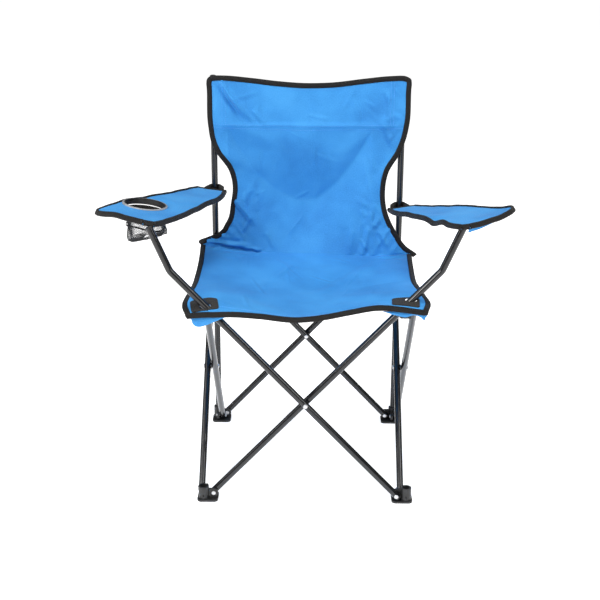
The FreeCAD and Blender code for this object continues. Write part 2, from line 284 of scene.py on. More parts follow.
def newMaterial(name, colour, roughness, metallic=0.0, others=None):
    material = bpy.data.materials.new(name)
    material.use_nodes = True
    shader = material.node_tree.nodes["Principled BSDF"]
    settings = {"Base Color": (*colour, 1), "Roughness": roughness, "Metallic": metallic, **(others or {})}
    for socket, value in settings.items():
        shader.inputs[socket].default_value = value
    return material, material.node_tree, shader


def surfacePlace(tree, kind):
    return tree.nodes.new("ShaderNodeTexCoord").outputs[kind]


def noiseNode(tree, where, scale, detail, roughness=0.55):
    noise = tree.nodes.new("ShaderNodeTexNoise")
    noise.inputs["Scale"].default_value = scale
    noise.inputs["Detail"].default_value = detail
    noise.inputs["Roughness"].default_value = roughness
    tree.links.new(where, noise.inputs["Vector"])
    return noise.outputs["Fac"]


def rampTo(tree, value, stops, socket):
    # stops is a list of (place, colour)
    ramp = tree.nodes.new("ShaderNodeValToRGB")
    elements = ramp.color_ramp.elements
    for element, (place, colour) in ((elements[0], stops[0]), (elements[1], stops[-1])):
        element.position, element.color = place, (*colour, 1)
    for place, colour in stops[1:-1]:
        elements.new(place).color = (*colour, 1)
    tree.links.new(value, ramp.inputs["Fac"])
    tree.links.new(ramp.outputs["Color"], socket)


def bumpNode(tree, height, strength, distance, under=None):
    bump = tree.nodes.new("ShaderNodeBump")
    bump.inputs["Strength"].default_value = strength
    bump.inputs["Distance"].default_value = distance
    tree.links.new(height, bump.inputs["Height"])
    if under is not None:
        tree.links.new(under, bump.inputs["Normal"])
    return bump.outputs["Normal"]


def mathNode(tree, operation, a, b=0):
    node = tree.nodes.new("ShaderNodeMath")
    node.operation = operation
    for value, socket in ((a, node.inputs[0]), (b, node.inputs[1])):
        if isinstance(value, (int, float)):
            socket.default_value = value
        else:
            tree.links.new(value, socket)
    return node.outputs[0]


def ribHeight(tree, where, axis, pitch):
    parts = tree.nodes.new("ShaderNodeSeparateXYZ")
    tree.links.new(where, parts.inputs[0])
    return mathNode(tree, "SINE", mathNode(tree, "MULTIPLY", parts.outputs[axis], fullTurn / pitch))


def weaveHeight(tree, where, pitch):
    # over-under of a plain weave, threads pitch apart
    crossed = mathNode(tree, "MULTIPLY", ribHeight(tree, where, "X", pitch), ribHeight(tree, where, "Y", pitch))
    return mathNode(tree, "ABSOLUTE", crossed)


def grey(level):
    return (level, level, level)


# in the looks below, a noise is (scale, detail, roughness) and a bump is (strength, distance)
clothLook = {
    "colour": (0.042, 0.276, 0.650), "deep": (0.028, 0.210, 0.548), "light": (0.062, 0.338, 0.725),
    "stops": (0.36, 0.5, 0.66), "roughness": 0.68, "rough": [(0, grey(0.60)), (1, grey(0.76))], "pitch": 0.0011,
    "slow": (9.0, 3.0), "fine": (420.0, 2.0), "slowShare": 0.6, "fineShare": 0.4, "weave": (0.35, 0.0002),
    "crumple": (26.0, 5.0, 0.6), "crumpled": (0.22, 0.004),
    "sockets": {"Sheen Weight": 0.05, "Sheen Roughness": 0.45, "Specular IOR Level": 0.25},
}


def makeCloth(name, look):
    material, tree, shader = newMaterial(name, look["colour"], look["roughness"], 0.0, look["sockets"])
    where = surfacePlace(tree, "UV")
    slow, fine = noiseNode(tree, where, *look["slow"]), noiseNode(tree, where, *look["fine"])
    mixed = mathNode(tree, "ADD", mathNode(tree, "MULTIPLY", slow, look["slowShare"]),
                     mathNode(tree, "MULTIPLY", fine, look["fineShare"]))
    colours = (look["deep"], look["colour"], look["light"])
    rampTo(tree, mixed, list(zip(look["stops"], colours)), shader.inputs["Base Color"])
    rampTo(tree, slow, look["rough"], shader.inputs["Roughness"])
    weave = bumpNode(tree, weaveHeight(tree, where, look["pitch"]), *look["weave"])
    crumple = noiseNode(tree, where, *look["crumple"])
    tree.links.new(bumpNode(tree, crumple, *look["crumpled"], weave), shader.inputs["Normal"])
    return material


tapeLook = {
    "colour": (0.006, 0.0055, 0.0052), "light": (0.015, 0.0135, 0.0125), "pitch": 0.0016, "roughness": 0.72,
    "fine": (600.0, 2.0), "stops": (0.35, 0.7), "bump": (0.5, 0.0003),
    "sockets": {"Sheen Weight": 0.06, "Sheen Roughness": 0.4, "Specular IOR Level": 0.25},
}


def makeTape(name, look, ribs):
    material, tree, shader = newMaterial(name, look["colour"], look["roughness"], 0.0, look["sockets"])
    where = surfacePlace(tree, "UV")
    fine = noiseNode(tree, where, *look["fine"])
    rampTo(tree, fine, list(zip(look["stops"], (look["colour"], look["light"]))), shader.inputs["Base Color"])
    pitch = look["pitch"]
    height = ribHeight(tree, where, "X", pitch) if ribs else weaveHeight(tree, where, pitch)
    tree.links.new(bumpNode(tree, height, *look["bump"]), shader.inputs["Normal"])
    return material


def makeHard(name, look):
    # paint, metal or plastic: slow spots change its tone and gloss, and a fine grain its bump
    material, tree, shader = newMaterial(name, look["colour"], look["roughness"], look["metallic"], look["sockets"])
    where = surfacePlace(tree, "Object")
    grain, spots = noiseNode(tree, where, *look["grain"]), noiseNode(tree, where, *look["spots"])
    rampTo(tree, spots, look["tone"], shader.inputs["Base Color"])
    rampTo(tree, spots, look["rough"], shader.inputs["Roughness"])
    tree.links.new(bumpNode(tree, grain, *look["bump"]), shader.inputs["Normal"])
    return material


paintLook = {
    "colour": (0.004, 0.004, 0.005), "roughness": 0.16, "metallic": 0.0, "grain": (900.0, 2.0), "spots": (60.0, 5.0),
    "tone": [(0.4, (0.005, 0.005, 0.006)), (0.8, (0.012, 0.012, 0.013))],
    "rough": [(0.35, grey(0.13)), (0.75, grey(0.24))], "bump": (0.03, 0.0003),
    "sockets": {"Coat Weight": 0.5, "Coat Roughness": 0.05, "Specular IOR Level": 0.30},
}
steelLook = {
    "colour": (0.66, 0.66, 0.67), "roughness": 0.3, "metallic": 1.0, "grain": (700.0, 4.0), "spots": (700.0, 4.0),
    "tone": [(0.3, (0.48, 0.48, 0.49)), (0.7, (0.78, 0.78, 0.79))],
    "rough": [(0.3, grey(0.22)), (0.7, grey(0.42))], "bump": (0.12, 0.0003), "sockets": {},
}
plasticLook = {
    "metallic": 0.0, "grain": (1500.0, 3.0), "spots": (90.0, 6.0), "bump": (0.18, 0.0003), "sockets": {},
    "places": (0.4, 0.75), "spread": 0.1,
}


def makePlastic(name, dark, light, roughness):
    low, high = roughness - plasticLook["spread"], roughness + plasticLook["spread"]
    tone = list(zip(plasticLook["places"], (dark, light)))
    rough = [(0, grey(low)), (1, grey(high))]
    return makeHard(name, {**plasticLook, "colour": dark, "roughness": roughness, "tone": tone, "rough": rough})


blueCloth = makeCloth("blueOxfordCloth", clothLook)
bindingTape = makeTape("blackBindingTape", tapeLook, True)
webbing = makeTape("blackWebbing", {**tapeLook, "pitch": 0.0030, "light": (0.060, 0.056, 0.052)}, False)
blackThread = makePlastic("blackThread", (0.016, 0.015, 0.015), (0.035, 0.033, 0.032), 0.6)
blueThread = makePlastic("blueThread", (0.10, 0.36, 0.84), (0.16, 0.44, 0.90), 0.55)
powderCoat = makeHard("blackPowderCoat", paintLook)
rivetSteel = makeHard("rivetSteel", steelLook)
mouldedBlack = makePlastic("mouldedBlack", (0.014, 0.014, 0.014), (0.032, 0.032, 0.033), 0.42)
ringGrey = makePlastic("ringGrey", (0.30, 0.31, 0.32), (0.42, 0.43, 0.44), 0.30)
netBlack = makePlastic("netBlack", (0.020, 0.020, 0.020), (0.05, 0.05, 0.05), 0.5)
print("materials made")

cadFinish = {"sharpAngle": 32, "ringWall": 41.2}  # degrees; inside this radius the cup ring is black
finishOf = {
    "black_paint": powderCoat, "rivet_steel": rivetSteel, "black_plastic": mouldedBlack, "ring_plastic": ringGrey,
}
slotOf = {s["node"]: s["material_slot"] for s in frame["record"]["subparts"]}
for nodeName, cadPiece in frame["nodes"].items():
    if slotOf.get(nodeName) in finishOf:
        cadPiece.data.materials.clear()
        cadPiece.data.materials.append(finishOf[slotOf[nodeName]])
        cadPiece.data.polygons.foreach_set("use_smooth", [True] * len(cadPiece.data.polygons))
        cadPiece.data.set_sharp_from_angle(angle=math.radians(cadFinish["sharpAngle"]))
ringLow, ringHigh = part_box("cup_ring")
ringMiddle = (ringLow + ringHigh) / 2 / mm
ring = frame["nodes"]["cup_ring"]
ring.data.materials.append(mouldedBlack)
for face in ring.data.polygons:
    place = (ring.matrix_world @ face.center) / mm
    if math.hypot(place.x - ringMiddle.x, place.y - ringMiddle.y) < cadFinish["ringWall"]:
        face.material_index = 1
print("frame finished")

postX = 204.0

seat = {
    "thickness": 1.1, "halfWidth": 230, "frontY": -229.0, "rearLeftY": 187.0, "rearRightY": 170.0,
    "turn": (-60, 230.0), "lip": 15.0, "bend": 66.0, "frontSlope": 0.25, "middleSlope": 0.6,
    "calmSide": (-228, 30), "calmFront": (-200, 20), "ripple": (3, 170.0, 1.2),
    "left": [(-229, -227), (-205, -236), (-160, -235), (-110, -231), (0, -230), (90, -231), (187, -235)],
    "right": [(-229, 230), (-205, 237), (-150, 231), (-60, 224), (60, 226), (187, 231)],
}
seatRows = [  # height across the seat, from its front edge to its rear seam
    (-216, [(-240, 403), (-209, 408), (-141, 407), (-93, 402), (-17, 394), (38, 399), (87, 409), (137, 419),
            (186, 419), (240, 413)]),
    (-185, [(-240, 412), (-209, 419), (-180, 420), (-141, 411), (-93, 401), (-17, 391), (38, 393), (87, 402),
            (137, 415), (186, 423), (210, 424), (240, 418)]),
    (-20, [(-240, 411), (-215, 412), (-150, 402), (-70, 390), (0, 386), (70, 390), (150, 402), (215, 412),
           (240, 411)]),
    (187, [(-240, 425), (-205, 422), (-150, 413), (-69, 408), (0, 407), (100, 407), (180, 409), (205, 411),
           (240, 411)]),
]
seatFolds = [  # start, end, width, height
    ((-120, 180), (-226, 166), 7, 4.0), ((-90, 178), (-190, 140), 9, 2.6), ((-200, 180), (-150, 120), 11, 2.0),
    ((160, 160), (226, 150), 7, 2.4), ((150, 120), (10, -60), 13, 1.5), ((-190, -170), (-90, -80), 20, 1.6),
    ((190, -175), (60, -60), 24, 1.8), ((-40, -205), (-150, -120), 20, 1.2), ((120, -205), (60, -120), 16, 1.2),
]
seatCreases = smallCreases(61, 16, (-190, 190, -180, 160), (40, 110), (0.3, 0.9))
seatPuckers = {
    "pitch": 0.21, "drift": 0.06, "sway": 1.5, "reach": 14.0, "last": 99, "height": 1.2,
    "side": (60, 60), "edge": (-226, 12),
}


def seatRear(x):
    return seat["rearLeftY"] + (seat["rearRightY"] - seat["rearLeftY"]) * fade(x, *seat["turn"])


def seatHeight(x, y):
    x = np.asarray(x, float)
    stations = [row[0] for row in seatRows]
    heights = [throughPoints(row[1], x) for row in seatRows]
    slopes = [(heights[1] - heights[0]) / (stations[1] - stations[0])]
    slopes.append(slopes[0] * seat["frontSlope"])
    slopes.append((heights[3] - heights[1]) / (stations[3] - stations[1]) * seat["middleSlope"])
    slopes.append((heights[3] - heights[2]) / (stations[3] - stations[2]))
    z = heights[0] + slopes[0] * (y - stations[0])
    for k in range(3):
        span = stations[k + 1] - stations[k]
        part = between(np.clip((y - stations[k]) / span, 0, 1), span, heights[k:k + 2], slopes[k:k + 2])
        z = np.where(y >= stations[k], part, z)
    calm = fade(-np.abs(x), *seat["calmSide"]) * fade(y, *seat["calmFront"])
    for start, end, width, height in seatFolds + seatCreases:
        z = z + foldLine(x, y, start, end, width, height) * calm
    near = fade(-x, *seatPuckers["side"]) * fade(x, *seatPuckers["edge"])
    return z - puckers(x, seatRear(x) - y, seatPuckers) * near + ripple(x, y, *seat["ripple"]) * calm


bendSteps = {"count": 60, "early": 1.05}


def bendTable(length, angle):
    # (arc from the edge, sideways shortening, drop) of cloth that turns down towards its edge
    arc = np.linspace(0, length, bendSteps["count"])
    turn = math.radians(angle) * (1 - smooth(arc / length * bendSteps["early"]))
    side = np.cumsum((np.cos(turn) * arc[1])[::-1])[::-1] - arc[1] * np.cos(turn[-1])
    return arc, side, np.cumsum((np.sin(turn) * arc[1])[::-1])[::-1]


seatBend = bendTable(seat["lip"], seat["bend"])


def seatPoints(u, s):
    # s runs from 0 at the front edge to 1 at the seam
    x = seat["halfWidth"] * (2 * u - 1)
    for step in range(5):  # the width depends on y, and y on x
        y = seat["frontY"] + (seatRear(x) - seat["frontY"]) * s
        left, right = throughPoints(seat["left"], y), throughPoints(seat["right"], y)
        x = left + (right - left) * u
    arc = y - seat["frontY"]
    rolled = arc < seat["lip"]
    z = seatHeight(x, y) - np.where(rolled, np.interp(arc, seatBend[0], seatBend[2]), 0)
    y = np.where(rolled, seat["frontY"] + seat["lip"] - np.interp(arc, seatBend[0], seatBend[1]), y)
    return np.stack([x, y, z], -1)


hole = {"reach": 11.5, "half": 7.9, "leftX": -193.0, "rightX": 201.5, "clear": 2.4}
outerBox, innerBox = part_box("front_outer_tube"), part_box("front_inner_tube")
slots = [
    (hole["leftX"], (outerBox[0].y + outerBox[1].y) / 2 / mm),
    (hole["rightX"], (innerBox[0].y + innerBox[1].y) / 2 / mm),
]


def inSlot(x, y):
    inside = np.zeros(np.shape(x), bool)
    for cx, cy in slots:
        dx = np.maximum(np.abs(x - cx) - (hole["reach"] - hole["half"]), 0)
        inside |= np.hypot(dx, y - cy) < hole["half"] + hole["clear"]
    return inside


# one surface, cut at splitShare of its depth where the chair folds it
seatMesh = {"cols": 240, "lipShare": 0.045, "lipRows": 15, "frontRows": 92, "rearRows": 96, "splitShare": 0.507}
stopsFront = np.concatenate([
    np.linspace(0, seatMesh["lipShare"], seatMesh["lipRows"])[:-1],
    np.linspace(seatMesh["lipShare"], seatMesh["splitShare"], seatMesh["frontRows"]),
])
stopsRear = np.linspace(seatMesh["splitShare"], 1, seatMesh["rearRows"])
seatU, seatS = np.meshgrid(np.linspace(0, 1, seatMesh["cols"]), np.concatenate([stopsFront, stopsRear[1:]]))
seatP = seatPoints(seatU, seatS)
seatN = gridNormals(seatP)
splitRow = len(stopsFront) - 1


def seatHalf(name, rows, body, node):
    p, n = seatP[rows], seatN[rows]
    cells = (p[:-1, :-1] + p[1:, 1:]) / 2
    keep = ~inSlot(cells[..., 0], cells[..., 1])
    run = runAlong(p[:, seatMesh["cols"] // 2])
    flat = np.stack([p[..., 0], np.tile(run[:, None], (1, p.shape[1]))], -1)
    piece = clothFromGrid(name, p, seat["thickness"], flat, keep, n)
    finishPiece(piece, body, blueCloth)
    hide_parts(node)
    return piece, p, n


edgeTape = {
    "width": 9.6, "half": 1.6, "over": 1.5, "step": 4.0,
    "wobbleTurn": 0.37, "wobble": 0.25, "seamInset": 1.6, "seamLift": 0.95,
}


def bindEdge(name, edges, body, squashTo=None, spec=edgeTape):
    # edges is a list of (points, normals, inward) in millimetres, joined end to end
    points, outward, inward = (np.concatenate(parts) for parts in zip(*edges))
    points, outward, inward = resample(points * mm, [outward, inward], spec["step"] * mm)
    wobble = np.sin(np.linspace(0, len(points) * spec["wobbleTurn"], len(points))) * spec["wobble"] * mm
    tangents = unit(np.gradient(points, axis=0))
    inward = unit(inward - tangents * np.sum(inward * tangents, axis=1, keepdims=True))
    normals = unit(np.cross(inward, tangents))
    normals = normals * np.sign(np.sum(normals * outward, axis=1))[:, None]
    section = tapeSection(spec["width"] * mm, spec["half"] * mm, spec["over"] * mm)
    piece = sweep(name, points + normals * wobble[:, None], inward, normals, section)
    finishPiece(piece, body, bindingTape)
    inside = points + inward * (spec["width"] - spec["seamInset"]) * mm
    inside = inside + normals * (spec["half"] * spec["seamLift"] * mm)
    seam = stitchRows(name + "Stitches", [(inside[2:-2], normals[2:-2])], body, blackThread)
    if squashTo:
        for part in (piece, seam):
            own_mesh(part)


def edgeOf(p, n, which):
    # one side of a grid with its normals and the way into the cloth
    row, following = {"left": (np.s_[:, 0], np.s_[:, 1]), "right": (np.s_[:, -1], np.s_[:, -2]),
                      "low": (0, 1), "high": (-1, -2)}[which]
    return p[row], n[row], unit(p[following] - p[row])


def turned(edge):
    return tuple(a[::-1] for a in edge)


seatSquash = {"joint": "fold", "axis": (1, 0, 0), "anchor": (-0.180, 0, 0), "keep": 0.135}
frontSeat, frontP, frontN = seatHalf("seatFront", slice(0, splitRow + 1), "seat_front", "seat_front_half")
rearSeat, rearP, rearN = seatHalf("seatRear", slice(splitRow, None), "seat_rear", "seat_rear_half")
frontEdges = [turned(edgeOf(frontP, frontN, "left")), edgeOf(frontP, frontN, "low"), edgeOf(frontP, frontN, "right")]
bindEdge("seatFrontBinding", frontEdges, "seat_front", seatSquash)
for side in ("left", "right"):
    bindEdge("seatRearBinding" + side.title(), [edgeOf(rearP, rearN, side)], "seat_rear", seatSquash)
for part in (frontSeat, rearSeat):
    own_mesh(part)

hemLine = {"row": 16, "cols": slice(12, 228), "lift": 0.6}
hemP, hemN = seatP[hemLine["row"], hemLine["cols"]], seatN[hemLine["row"], hemLine["cols"]]
hemRows = [((hemP + hemN * hemLine["lift"]) * mm, hemN)]
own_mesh(stitchRows("seatEdgeStitches", hemRows, "seat_front", blueThread))

patch = {
    "halfX": 26.5, "halfY": 17.0, "thickness": 1.4, "lift": 1.2, "threadLift": 0.7,
    "around": 96, "rings": 9, "square": 9, "slotSquare": 1.6, "places": [(-195.0, -203.0, 11.0),
    (191.0, -200.0, -3.0)],
}


def cornerPatch(name, index):
    # woven patch round the hole where an arm tube comes through
    cx, cy = slots[index]
    mx, my, twist = patch["places"][index]
    twist, square = math.radians(twist), patch["square"]
    rings = []
    for s in np.linspace(0, 1, patch["rings"]):
        points = []
        for a in np.linspace(0, fullTurn, patch["around"] + 1)[:-1]:
            c, d = math.cos(a), math.sin(a)
            stretch = np.sign(c) * min(1, abs(c) * patch["slotSquare"])
            inX = (hole["reach"] - hole["half"]) * stretch + hole["half"] * c
            inY = hole["half"] * d
            k = (abs(c / patch["halfX"]) ** square + abs(d / patch["halfY"]) ** square) ** (-1 / square)
            outX = k * (c * math.cos(twist) - d * math.sin(twist))
            outY = k * (c * math.sin(twist) + d * math.cos(twist))
            points.append(((cx + inX) * (1 - s) + (mx + outX) * s, (cy + inY) * (1 - s) + (my + outY) * s))
        rings.append(points + points[:1])
    flat = np.array(rings)
    x, y = flat[..., 0], flat[..., 1]
    p = np.stack([x, y, seatHeight(x, y) + patch["lift"]], -1)[::-1]
    piece = clothFromGrid(name, p, patch["thickness"], p[..., :2])
    finishPiece(piece, "seat_front", webbing)
    up = np.array([0, 0, 1.0])
    rows = [((row + up * patch["threadLift"]) * mm, same(up, len(row))) for row in (p[1], p[-2])]
    return [piece, stitchRows(name + "Stitches", rows, "seat_front", blackThread)]


patches = cornerPatch("leftCornerPatch", 0) + cornerPatch("rightCornerPatch", 1)
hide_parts("seat_corner_patches")
for part in patches:
    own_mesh(part)
print("seat made")

back = {
    "thickness": 1.1, "halfWidth": 218, "rows": 260, "cols": 220, "bandZ": 691.0, "seamInset": 178.0,
    "pocketY": 193.6, "topSag": 8.0, "sagReach": 184.0, "flat": (-14, 28),
    "dentZ": 518.0, "dentDeep": 37.0, "dentBlur": 5.0, "dentRight": (92, 100, 1.75), "dentLeft": (106, 139, 2.1),
    "dentGap": 4, "sinkPower": 1.7, "fallPower": 1.25, "fallLast": 1.05, "inner": (6, 30),
    "lineDeep": 2.0, "lineWidth": 5.0, "lineEdge": (-190, 12), "ripple": (11, 140.0, 2.4), "calm": (0, 40),
    "calmTop": (-800, 40), "foldFade": (0, 8), "threadLift": 0.75,
    "left": [(400, -230), (424, -233), (433, -240), (439, -228), (447, -206), (476, -178), (519, -167), (560, -163),
             (595, -172), (636, -200), (655, -208), (690, -214), (770, -215.5), (784, -216), (791, -214),
             (796, -208), (800, -200)],
    "right": [(400, 238), (410, 243), (424, 223), (458, 197), (500, 176), (552, 169), (593, 176),
              (636, 201), (662, 211), (697, 218), (770, 219.5), (786, 220), (793, 218), (798, 212), (802, 204)],
    "top": [(-220, 788), (-214, 792.5), (-207, 795.5), (-196, 796.5), (-180, 796.5), (-120, 791), (-60, 784),
            (0, 780.5), (60, 783), (120, 791), (185, 798), (200, 798.5), (210, 797), (217, 793.5), (224, 788)],
}
backFolds = [  # start, end, width, height, all in x and z
    ((-186, 782), (-134, 706), 5, 7.5), ((-166, 755), (-112, 694), 6, 4.6), ((-176, 706), (-60, 640), 16, 3.6),
    ((-120, 724), (-92, 694), 5, 2.6), ((172, 768), (178, 700), 5, 3.0), ((176, 712), (60, 610), 18, 3.4),
    ((160, 706), (188, 640), 6, 3.2), ((-205, 640), (-80, 575), 13, 2.6), ((205, 650), (150, 560), 10, 2.6),
    ((-160, 530), (-112, 466), 6, 6.4), ((-70, 500), (-30, 450), 11, 2.6), ((-222, 434), (-120, 424), 5, 7.0),
    ((-190, 428), (-96, 412), 5, 6.6), ((-215, 452), (-150, 436), 6, 4.0), ((-190, 470), (-140, 430), 6, 3.4),
    ((-90, 452), (-70, 414), 6, 3.0), ((160, 462), (182, 420), 5, 3.4), ((135, 470), (128, 414), 6, 3.4),
    ((182, 470), (150, 416), 5, 3.0), ((210, 446), (186, 414), 5, 3.2), ((100, 462), (92, 414), 8, 2.4),
    ((-40, 690), (30, 570), 24, 2.2), ((60, 700), (90, 620), 20, 1.8), ((-110, 560), (-20, 500), 18, 1.8),
    ((150, 540), (60, 480), 18, 1.8),
]
backCreases = smallCreases(47, 40, (-180, 180, 430, 770), (26, 80), (0.4, 1.3))
backCreases += smallCreases(43, 16, (168, 208, 620, 785), (16, 44), (1.0, 2.4))
backCreases += smallCreases(44, 14, (-200, -110, 440, 550), (20, 70), (1.2, 2.6))
backCreases += smallCreases(45, 12, (90, 180, 430, 530), (20, 60), (0.9, 2.0))
backPuckers = {
    "pitch": 0.17, "drift": 0.05, "sway": 2.0, "reach": 18.0, "last": 99, "height": 2.4,
    "side": (50, 80), "rise": (0, 5),
}


def seamHeight(x):
    return seatHeight(x, seatRear(x))


def bandSag(x):
    return np.clip(1 - (np.abs(x) / back["sagReach"]) ** 2, 0, 1)


def backProfile(x, z):
    # hangs straight in the band, sinks back to the dent's border, then comes forward to the seam
    band = back["pocketY"] + back["topSag"] * bandSag(x)
    right, left = (h * (np.abs(x) / reach) ** power for h, reach, power in (back["dentRight"], back["dentLeft"]))
    border = np.minimum(back["dentZ"] + np.where(x > 0, right, left), back["bandZ"] - back["dentGap"])
    tall = back["bandZ"] - border
    deep = back["dentDeep"] * tall / (back["bandZ"] - back["dentZ"])
    sunk = np.clip((back["bandZ"] - z) / tall, 0, 1)
    fall = np.clip((border - z) / np.maximum(border - seamHeight(x), 1), 0, back["fallLast"])
    return band + deep * sunk ** back["sinkPower"] - (deep + band - seatRear(x)) * fall ** back["fallPower"]


def backDepth(x, z):
    side, low = np.abs(x), seamHeight(x)
    calm = fade(z - low, *back["calm"])
    blur = back["dentBlur"] * calm
    y = sum(backProfile(x, z + step * blur) for step in (-1, -0.5, 0, 0.5, 1)) / 5
    flat = fade(z - back["bandZ"], *back["flat"])
    y = y * (1 - flat) + (back["pocketY"] + back["topSag"] * bandSag(x)) * flat
    inner = fade(x - throughPoints(back["left"], z), *back["inner"])
    inner = inner * fade(throughPoints(back["right"], z) - x, *back["inner"])
    seamFade = fade(z - low, *back["foldFade"])
    for folds, share in ((backFolds, seamFade), (backCreases, inner)):
        for start, end, width, height in folds:
            y = y - foldLine(x, z, start, end, width, height) * share
    y = y - back["lineDeep"] * bell(z, back["bandZ"], back["lineWidth"]) * fade(-side, *back["lineEdge"])
    y = y + ripple(x, z, *back["ripple"]) * bandSag(x) * calm * fade(-z, *back["calmTop"])
    near = fade(side, *backPuckers["side"]) * fade(z - low, *backPuckers["rise"])
    return y - puckers(x, z - low, backPuckers) * near


def backGrid():
    u, v = shareGrid(back["cols"], back["rows"])
    x = (u * 2 - 1) * back["halfWidth"]
    for step in range(6):  # the width at a height depends on the height itself
        low = seamHeight(x)
        z = low + (throughPoints(back["top"], x) - low) * v
        x = throughPoints(back["left"], z) * (1 - u) + throughPoints(back["right"], z) * u
    return np.stack([x, backDepth(x, z), z], -1)


backP = backGrid()
backN = gridNormals(backP)
backSheet = clothFromGrid("backSheet", backP, back["thickness"], backP[..., [0, 2]], None, backN)
finishPiece(backSheet, "rear_left_foot", blueCloth)
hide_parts("back_panel")
backSquash = {"joint": "fold", "axis": (1, 0, 0), "anchor": (-postX * mm, 0, 0), "keep": 0.2352}

postPocketLook = {
    "cols": 40, "rows": 60, "low": 688, "high": 792, "thickness": 0.9, "edgeInset": 1.5, "clear": 1.3,
    "postY": 204, "round": 15.5, "behind": 10.2, "pull": 6.5, "ripple": (21, 60.0, 0.7),
}


def postPocket(name, side, spec=postPocketLook):
    # rear layer of the pocket, round the back of the post from the edge to the stitched line
    t, v = shareGrid(spec["cols"], spec["rows"])
    z = spec["low"] + (spec["high"] - spec["low"]) * v
    edge = throughPoints(back["left"] if side < 0 else back["right"], z)
    outX = side * (np.abs(edge) - spec["edgeInset"])
    x = outX + (side * back["seamInset"] - outX) * t
    bulge = np.sqrt(np.clip(1 - ((np.abs(x) - postX) / spec["round"]) ** 2, 0, 1))
    behind = spec["postY"] + spec["behind"] * bulge - spec["pull"] * (1 - bulge)
    y = np.maximum(backDepth(x, z) + spec["clear"], behind)
    p = np.stack([x, y + ripple(x, z, *spec["ripple"]) * bulge, z], -1)
    if side > 0:
        p = p[:, ::-1]
    piece = clothFromGrid(name, p, spec["thickness"], p[..., [0, 2]])
    finishPiece(piece, "rear_left_foot" if side < 0 else "rear_right_foot", blueCloth)


postPocket("leftPostPocket", -1)
postPocket("rightPostPocket", 1)
backEdges = [edgeOf(backP, backN, "left"), edgeOf(backP, backN, "high"), turned(edgeOf(backP, backN, "right"))]
bindEdge("backBinding", backEdges, "rear_left_foot", backSquash, {**edgeTape, "width": 9.8})


def backLine(points):
    # a sewn line on the back through points in x and z
    points = np.array(points, float)
    run, at = np.linspace(0, 1, 60), np.linspace(0, 1, len(points))
    x, z = np.interp(run, at, points[:, 0]), np.interp(run, at, points[:, 1])
    p = np.stack([x, backDepth(x, z) - back["threadLift"], z], -1) * mm
    return p, same((0, -1, 0), len(p))


bandZ = back["bandZ"]
seams = [
    backLine([(-206, bandZ + 3), (-100, bandZ), (0, bandZ - 3), (100, bandZ), (209, bandZ + 4)]),
    backLine([(-206, bandZ - 5), (-100, bandZ - 8), (0, bandZ - 11), (100, bandZ - 8), (209, bandZ - 4)]),
]
for x in (-178, -185, 178, 185):  # two rows beside each post pocket
    seams.append(backLine([(x, 787), (x, bandZ + 6)]))
seamStitches = stitchRows("backSeamStitches", seams, "rear_left_foot", blueThread)
for part in (backSheet, seamStitches):
    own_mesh(part)
print("back made")

cornerFlaps = {  # height of the lower edge along x, where the top edge lies, and the reach along the front
    "left": {"top": 398.0, "front": -219.5, "out": 222.0, "reach": 76, "body": "front_left_hub",
             "low": [(-222, 388), (-214, 378), (-204, 375), (-190, 379), (-170, 388), (-146, 398)]},
    "right": {"top": 409.0, "front": -219.5, "out": 231.0, "reach": 84, "body": "front_right_hub",
              "low": [(-231, 396), (-226, 391), (-220, 397), (-206, 402), (-190, 398), (-170, 402), (-147, 409)]},
}
flap = {
    "cols": 80, "rows": 22, "thickness": 1.0, "clothWide": 130, "clothTall": 30, "sideShare": 0.36,
    "bendShare": 0.05, "bend": 3.5, "depth": 46, "rearRise": 10, "bulge": 2.0, "ripple": (5, 36.0, 0.9),
}


def cornerPocket(side, spec):
    # hangs from the seat's corner: first along its side, then along its front
    s, v = shareGrid(flap["cols"], flap["rows"])
    sideShare = flap["sideShare"]
    onFront = s >= sideShare
    along = np.where(onFront, (s - sideShare) / (1 - sideShare), 0)
    deep = np.where(onFront, 0, 1 - s / sideShare)
    bend = bell(s, sideShare, flap["bendShare"]) * flap["bend"]
    x = -spec["out"] + along * spec["reach"] + bend
    y = spec["front"] + deep * flap["depth"] + bend
    low = np.where(onFront, throughPoints(spec["low"], x), spec["low"][0][1] + flap["rearRise"] * deep ** 2)
    z = spec["top"] - (spec["top"] - low) * (1 - v)
    bulge = np.sin(v * math.pi) * flap["bulge"]
    y = y - np.where(onFront, bulge, 0) + ripple(x, z, *flap["ripple"]) * (1 - v)
    x = x - np.where(onFront, 0, bulge)
    p = np.stack([x if side == "left" else -x, y, z], -1)
    if side == "right":
        p = p[:, ::-1]
    name = side + "CornerPocket"
    flat = np.stack([s * flap["clothWide"], v * flap["clothTall"]], -1)
    piece = clothFromGrid(name, p, flap["thickness"], flat)
    finishPiece(piece, spec["body"], blueCloth)
    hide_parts(spec["body"].replace("_hub", "_corner_pocket"))
    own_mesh(piece)


for side, spec in cornerFlaps.items():
    cornerPocket(side, spec)
print("corner pockets made")

